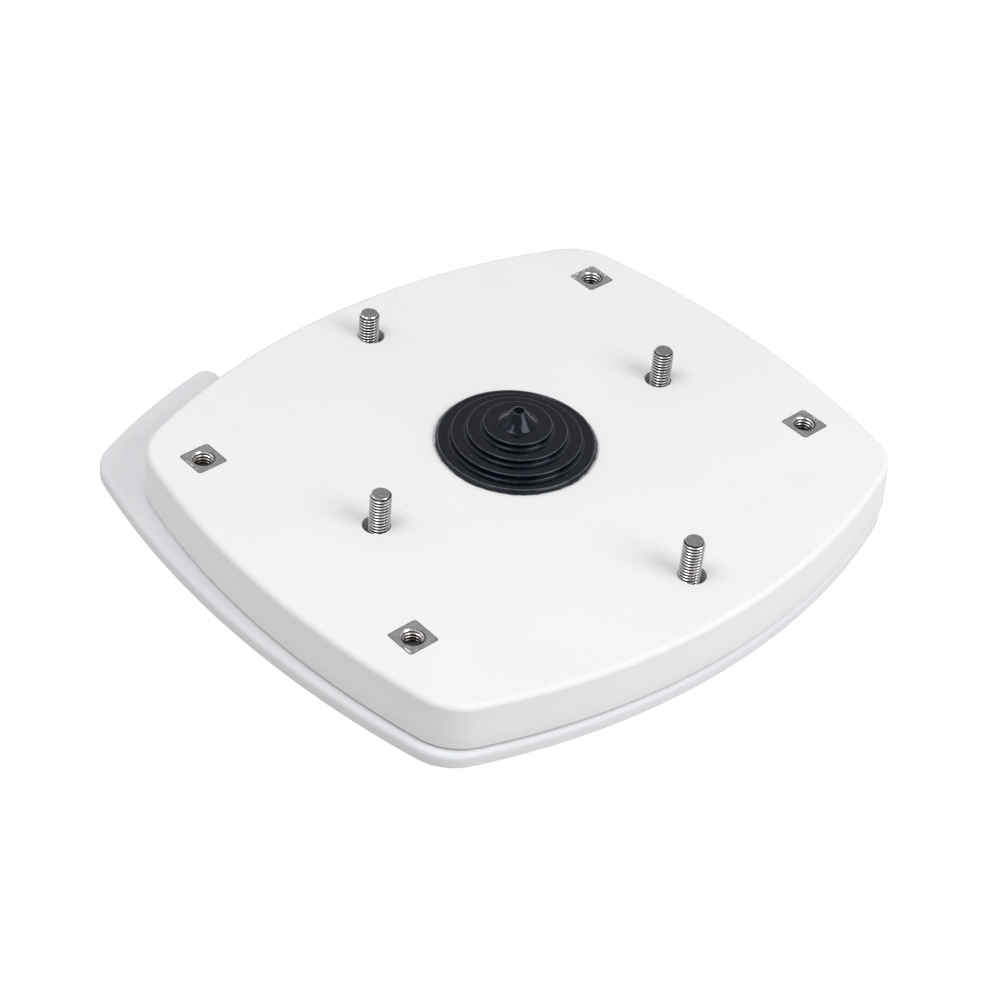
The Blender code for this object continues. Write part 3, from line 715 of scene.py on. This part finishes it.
def hex_ring(angle, half, at):
    """A hexagon met by rays at the given angles, its corners on +X and -X."""
    folded = np.mod(angle, math.pi / 3) - math.pi / 6
    radius = half / np.cos(folded)
    return np.stack([at[0] + radius * np.cos(angle), at[1] + radius * np.sin(angle)], -1)


def nut_columns(corners, spread=0.09, plain=88):
    """Angles round a nut, closer together at its corners."""
    extra = [corner + np.linspace(-spread, spread, 9) for corner in corners]
    even = np.linspace(0, TURN, plain, endpoint=False)
    angle = np.mod(np.concatenate([even, *extra]), TURN)
    return np.unique(np.round(angle, 5))


def make_nut(name, at, ring, low, high, bore, mouth, finish, angle, edge=0.3, dark=1.0):
    """A nut as one closed grid: up its sides, over the edge, across the top to the mouth of the
    bore, down the thread and back across the bottom. Its ring gives the outline at the angles for
    an inset, and dark is how much painted shade its sides get; the thread of the bore gets painted
    shade in its roots, more the deeper down it goes."""
    columns = len(angle)

    def sides(inset, z):
        points = ring(angle, inset)
        return np.c_[points, np.full(columns, z)]

    def hole(radius, z):
        z = np.broadcast_to(z, (columns,))
        return np.stack([at[0] + radius * np.cos(angle), at[1] + radius * np.sin(angle), z], -1)

    turn = np.linspace(0, math.pi / 2, 5)
    rows = [sides(edge + 0.2, low)]
    rows += [sides(edge * (1 - math.sin(t)), low + edge * (1 - math.cos(t))) for t in turn]
    rows += [sides(edge * (1 - math.cos(t)), high - edge * (1 - math.sin(t))) for t in turn]
    rows += [sides(edge + 0.2, high), hole(np.full(columns, mouth + 0.25), high)]
    heights = np.arange(high - 0.01, low + 0.01, -THREAD_PITCH / 12)
    sides_end = len(rows) - 2
    # painted shade: near black up the sides, fading out over the top edge
    painted_shade = [dark] * (sides_end - 3) + [0.7 * dark, 0.35 * dark, 0.1 * dark, 0.0, 0.0]
    border = [0.0] * (sides_end - 1) + [dark, dark, 0.0]
    painted_shade = [np.full(columns, value) for value in painted_shade]
    border = [np.full(columns, value) for value in border]
    rows.append(hole(np.full(columns, mouth), high))
    painted_shade.append(np.zeros(columns))
    for z in heights:
        deep = thread_depth(z, angle, 0.14, 0.14)
        radius = bore + NUT_THREAD_DEPTH * deep
        chamfer = np.maximum(mouth - (high - z), mouth - (z - low))
        rows.append(hole(np.maximum(radius, chamfer), z))
        # painted shade: darker in the thread roots and further down the bore
        shade = 0.55 * min(max((high - z - 2.2) / 4, 0), 1)
        painted_shade.append(np.minimum(deep * 0.9 + shade, 1))
    rows.append(hole(np.full(columns, mouth), low))
    painted_shade.append(np.zeros(columns))
    border += [np.zeros(columns)] * (len(rows) - len(border))
    marks = {"painted_shade": np.array(painted_shade), "border": np.array(border)}
    faces = grid_faces(len(rows), columns, True)
    return make_piece(name, np.array(rows), faces, finish, 50.0, marks=marks)


def make_square_nuts():
    angle = nut_columns(np.arange(4) * math.pi / 2 + math.pi / 4, 0.11)
    for name, at in NUTS.items():
        piece = make_nut(
            f"captive_square_nut_{name}",
            at,
            lambda a, inset, at=at: square_ring(a, NUT_HALF - inset, 1.1, at),
            TOP - NUT_HEIGHT,
            TOP,
            NUT_BORE,
            NUT_MOUTH,
            NUT_STEEL,
            angle,
        )
        piece.data.materials.append(THREAD)
        centre = Vector((at[0] * MM, at[1] * MM))
        for polygon in piece.data.polygons:
            if (Vector(polygon.center[:2]) - centre).length < (NUT_MOUTH + 0.1) * MM:
                polygon.material_index = 1
        show(piece, "adapter", "nut_steel", f"square_nut_{name}")


def make_stud(name, at, top):
    """A threaded rod: r = R - depth x thread(z, t), held inside a 45 degree cone at each end, and
    closed by a flat cap."""
    radius, chamfer, low = STUD_RADIUS, STUD_CHAMFER, STUD_LOW
    columns = 80
    angle = np.arange(columns) * TURN / columns
    z = np.arange(low, top + 1e-6, THREAD_PITCH / 13)
    z = np.unique(np.r_[z, top - chamfer, top])[:, None]
    deep = thread_depth(z, angle[None, :] + at[0])
    r = radius - STUD_THREAD_DEPTH * deep
    cone = np.minimum(top - z, z - low) + radius - chamfer
    inside = cone < r
    r = np.minimum(r, cone)
    # painted shade in the thread roots, none where an end cone cuts the thread away
    marks = np.where(inside, 0.0, deep)
    flat = (radius - chamfer) * np.array([0.985, 0.9, 0.6, 0.3, 0.0])
    cap = np.repeat(flat[:, None], columns, 1)
    r = np.r_[cap[::-1], r, cap]
    height = np.r_[np.full(cap.shape, low), np.repeat(z, columns, 1), np.full(cap.shape, top)]
    marks = np.r_[np.full(cap.shape, 0.3), marks, np.full(cap.shape, 0.32)]
    points = np.stack([at[0] + r * np.cos(angle), at[1] + r * np.sin(angle), height], -1)
    faces = grid_faces(len(r), columns)
    marks = {"painted_shade": marks}
    piece = make_piece(f"threaded_stud_{name}", points, faces, THREAD, 30.0, marks=marks)
    piece.data.materials.append(CUT_END)
    for polygon in piece.data.polygons:
        at_end = not low + 0.1 < polygon.center.z / MM < top - 0.1
        if abs(polygon.normal.z) > 0.99 and at_end:
            polygon.material_index = 1
    return show(piece, "base", "stainless_steel", f"stud_{name}")


def make_lock_hardware(name, at):
    """Washer, split spring washer and thin nut, stacked on the plate round one stud."""
    bore, low = 5.05, PLATE_TOP + 0.3
    high = low + 2
    section = [(bore, low, 0.15), (10.0, low, 0.25), (10.0, high, 0.35), (bore, high, 0.2)]
    washer = turned(f"plain_washer_{name}", rounded_path(section, 4), at, NUT_STEEL, 96)
    show(washer, "base", "stainless_steel", f"washer_{name}")

    low += 2.3
    steps = 120
    gap = math.radians(12)
    t = np.linspace(0, TURN - gap, steps)[:, None]
    path = rounded_path([(bore, 0, 0.2), (9.0, 0, 0.3), (9.0, 2.2, 0.3), (bore, 2.2, 0.2)], 3)
    lift = 0.2 * t / TURN
    points = np.stack(
        [
            at[0] + path[None, :, 0] * np.cos(t),
            at[1] + path[None, :, 0] * np.sin(t),
            low + lift + path[None, :, 1],
        ],
        -1,
    )
    count = len(path)
    caps = [range(count), range((steps - 1) * count, steps * count)]
    spring = make_piece(f"split_washer_{name}", points, grid_faces(steps, count), SPRING, caps=caps)
    show(spring, "base", "spring_steel", f"spring_washer_{name}")

    low += 2.7
    corners = np.arange(6) * math.pi / 3
    nut = make_nut(
        f"thin_locknut_{name}",
        at,
        lambda a, inset: hex_clipped(a, 8.0, inset, at),
        low,
        low + 5.0,
        bore,
        5.6,
        NUT_STEEL,
        nut_columns(corners, 0.2),
        edge=0.45,
        dark=0.0,
    )
    show(nut, "base", "stainless_steel", f"locknut_{name}")


def hex_clipped(angle, half, inset, at):
    """A hexagon whose corners are turned back to a circle as it goes in."""
    ring = hex_ring(angle, half, at) - at
    reach = np.hypot(*ring.T)
    limit = half * 1.14 - inset * 2.2
    return at + ring * (np.minimum(reach, limit) / reach)[:, None]


# ---------------------------------------------------------------- grommet


def make_grommet():
    """The stepped section carried round its axis, with an edge that is a little out of true."""
    t = TOP
    corners = [
        (2.05, t + 17.3, 0.25),
        (2.3, t + 18.1, 0.25),
        (3.25, t + 17.9, 0.4),
        (5.55, t + 14.6, 7.0),
        (8.9, t + 11.45, 1.6),
        (14.7, t + 11.45, 0.2),
        (15.4, t + 11.4, 0.65),
        (15.5, t + 8.3, 0.95),
        (21.8, t + 8.3, 0.2),
        (22.45, t + 8.25, 0.65),
        (22.55, t + 5.15, 0.95),
        (28.6, t + 5.15, 0.2),
        (29.25, t + 5.1, 0.65),
        (29.35, t + 1.8, 0.95),
        (34.3, t + 1.7, 0.3),
        (34.9, t + 2.05, 0.25),
        (35.4, t + 2.05, 0.25),
        (35.8, t + 1.6, 0.2),
        (36.2, t + 1.45, 0.3),
        (36.45, t + 0.2, 0.3),
        (36.3, t - 0.2, 0.15),
        (31.7, t - 0.2, 0.2),
        (31.7, SKIN - 0.3, 0.2),
        (34.7, SKIN - 0.3, 0.3),
        (34.1, SKIN - 2.7, 0.5),
        (27.6, SKIN - 2.7, 0.4),
        (27.1, t + 2.95, 0.5),
        (20.3, t + 2.95, 0.5),
        (20.3, t + 6.1, 0.5),
        (13.2, t + 6.1, 0.5),
        (13.2, t + 9.25, 0.5),
        (6.0, t + 9.25, 0.6),
        (2.05, t + 14.3, 0.6),
    ]

    def wobble(radius, angle):
        edge = np.clip((radius - 35.9) / 0.4, 0, 1)
        waves = ((9, 1.0, 0.12), (23, 0.0, 0.09), (41, 2.0, 0.08), (67, 0.5, 0.06))
        ripple = sum(size * np.sin(turns * angle + ahead) for turns, ahead, size in waves)
        return edge * (ripple - 0.2)

    path = with_near_points(rounded_path(corners, 5))
    # painted highlight: pale marks on the tier rims, the flange rim and the cone's tip, and weaker
    # ones at the foot of each tier wall
    marks = np.zeros(len(path))
    rims = [(29.25, t + 5.05), (22.45, t + 8.2), (15.4, t + 11.35)]
    lit_edges = [*rims, (35.2, t + 2.0), (2.75, t + 18.0)]
    lit_feet = [(30.2, t + 1.8), (23.4, t + 5.2), (16.4, t + 8.35)]
    for places, width, share in ((lit_edges, 0.27, 1.0), (lit_feet, 0.22, 0.35)):
        for place in places:
            away = np.hypot(*(path - place).T)
            marks = np.maximum(marks, share * np.exp(-((away / width) ** 2)))
    name, marks = "stepped_cable_grommet", {"rim_highlight": marks}
    piece = turned(name, path, GROMMET_AT, RUBBER, 320, 40.0, wobble, marks)
    return show(piece, "adapter", "black_rubber", "cable_grommet")


make_plate()
make_body()
make_square_nuts()
for stud, spot in STUDS.items():
    make_stud(stud, spot, STUD_TOPS[stud])
    make_lock_hardware(stud, spot)
make_grommet()
make_seal()


# ---------------------------------------------------------------- studio


def glowing_paint(name, glow):
    f = Finish(name, (0.15, 0.15, 0.15), 0.9)
    f.set(f.shader, "Emission Color", (1.0, 1.0, 1.0, 1.0))
    f.set(f.shader, "Emission Strength", glow)
    return f.material


def sheet(name, glow, height):
    """A broad pale square, 60 m across, that glows a little."""
    mesh = bpy.data.meshes.new(name)
    half = 30.0
    corners = [(-half, -half, 0), (half, -half, 0), (half, half, 0), (-half, half, 0)]
    mesh.from_pydata(corners, [], [(0, 1, 2, 3)])
    mesh.materials.append(glowing_paint(name + "_paint", glow))
    piece = bpy.data.objects.new(name, mesh)
    piece.location.z = height
    bpy.context.scene.collection.objects.link(piece)
    return piece


def make_floor():
    """The floor that is seen glows so that no shadow is left on it, and lights nothing. A second
    sheet, which is not seen, sends the weaker light that comes up from it."""
    floor = sheet("studio_floor", 0.90, -0.0002)
    floor.visible_diffuse = False
    bounce = sheet("studio_bounce", 0.35, -0.0001)
    bounce.visible_camera = False
    bounce.visible_glossy = False
    bounce.visible_transmission = False
    bounce.visible_shadow = False


def make_backdrop():
    """An upright round wall, 29 m from the middle, that only the camera sees."""
    angle = np.arange(64) * TURN / 64
    x, y = 29000 * np.cos(angle), 29000 * np.sin(angle)
    rings = [np.c_[x, y, np.full(64, z)] for z in (-200, 30000)]
    wall = make_piece("studio_backdrop", np.array(rings), grid_faces(2, 64), None)
    wall.data.materials.append(glowing_paint("backdrop_paint", 1.0))
    wall.visible_diffuse = False
    wall.visible_glossy = False
    wall.visible_shadow = False


def softbox(name, towards, distance, size, power, colour=(1, 1, 1)):
    """A square lamp at a distance along a direction, facing the object."""
    lamp = bpy.data.lights.new(name, "AREA")
    lamp.shape = "RECTANGLE"
    lamp.size, lamp.size_y = size
    lamp.energy = power
    lamp.color = colour
    holder = bpy.data.objects.new(name, lamp)
    way = Vector(towards).normalized()
    holder.location = way * distance
    holder.rotation_mode = "QUATERNION"
    holder.rotation_quaternion = way.to_track_quat("Z", "Y")
    bpy.context.scene.collection.objects.link(holder)


make_floor()
make_backdrop()
softbox("softbox_right_front", (0.734, 0.217, 0.643), 1.6, (0.9, 0.9), 9.1)
softbox("softbox_right_low", (0.926, 0.274, 0.259), 1.6, (0.9, 0.9), 2.75)
softbox("softbox_left_front", (-0.082, -0.398, 0.914), 1.6, (0.8, 0.8), 7.7)
softbox("softbox_left_low", (-0.576, -0.647, 0.500), 1.6, (0.9, 0.9), 1.1)

world = bpy.data.worlds.new("studio_room")
world.use_nodes = True
room = world.node_tree.nodes["Background"]
room.inputs["Color"].default_value = (1.0, 1.0, 1.0, 1.0)
room.inputs["Strength"].default_value = 0.495
bpy.context.scene.world = world
bpy.context.scene.view_settings.view_transform = "Standard"

lens = bpy.data.cameras.new("camera")
lens.lens = 86.99
lens.sensor_width = 36.0
lens.clip_start = 0.05
lens.clip_end = 100.0
camera = bpy.data.objects.new("camera", lens)
right = Vector((0.66300, 0.74506, 0.07292))
up = Vector((-0.51819, 0.38644, 0.76298))
back = Vector((0.54029, -0.54364, 0.64230))
facing = Matrix((right, up, back)).transposed().to_4x4()
camera.matrix_world = Matrix.Translation((0.59398, -0.59527, 0.70052)) @ facing
bpy.context.scene.collection.objects.link(camera)
bpy.context.scene.camera = camera
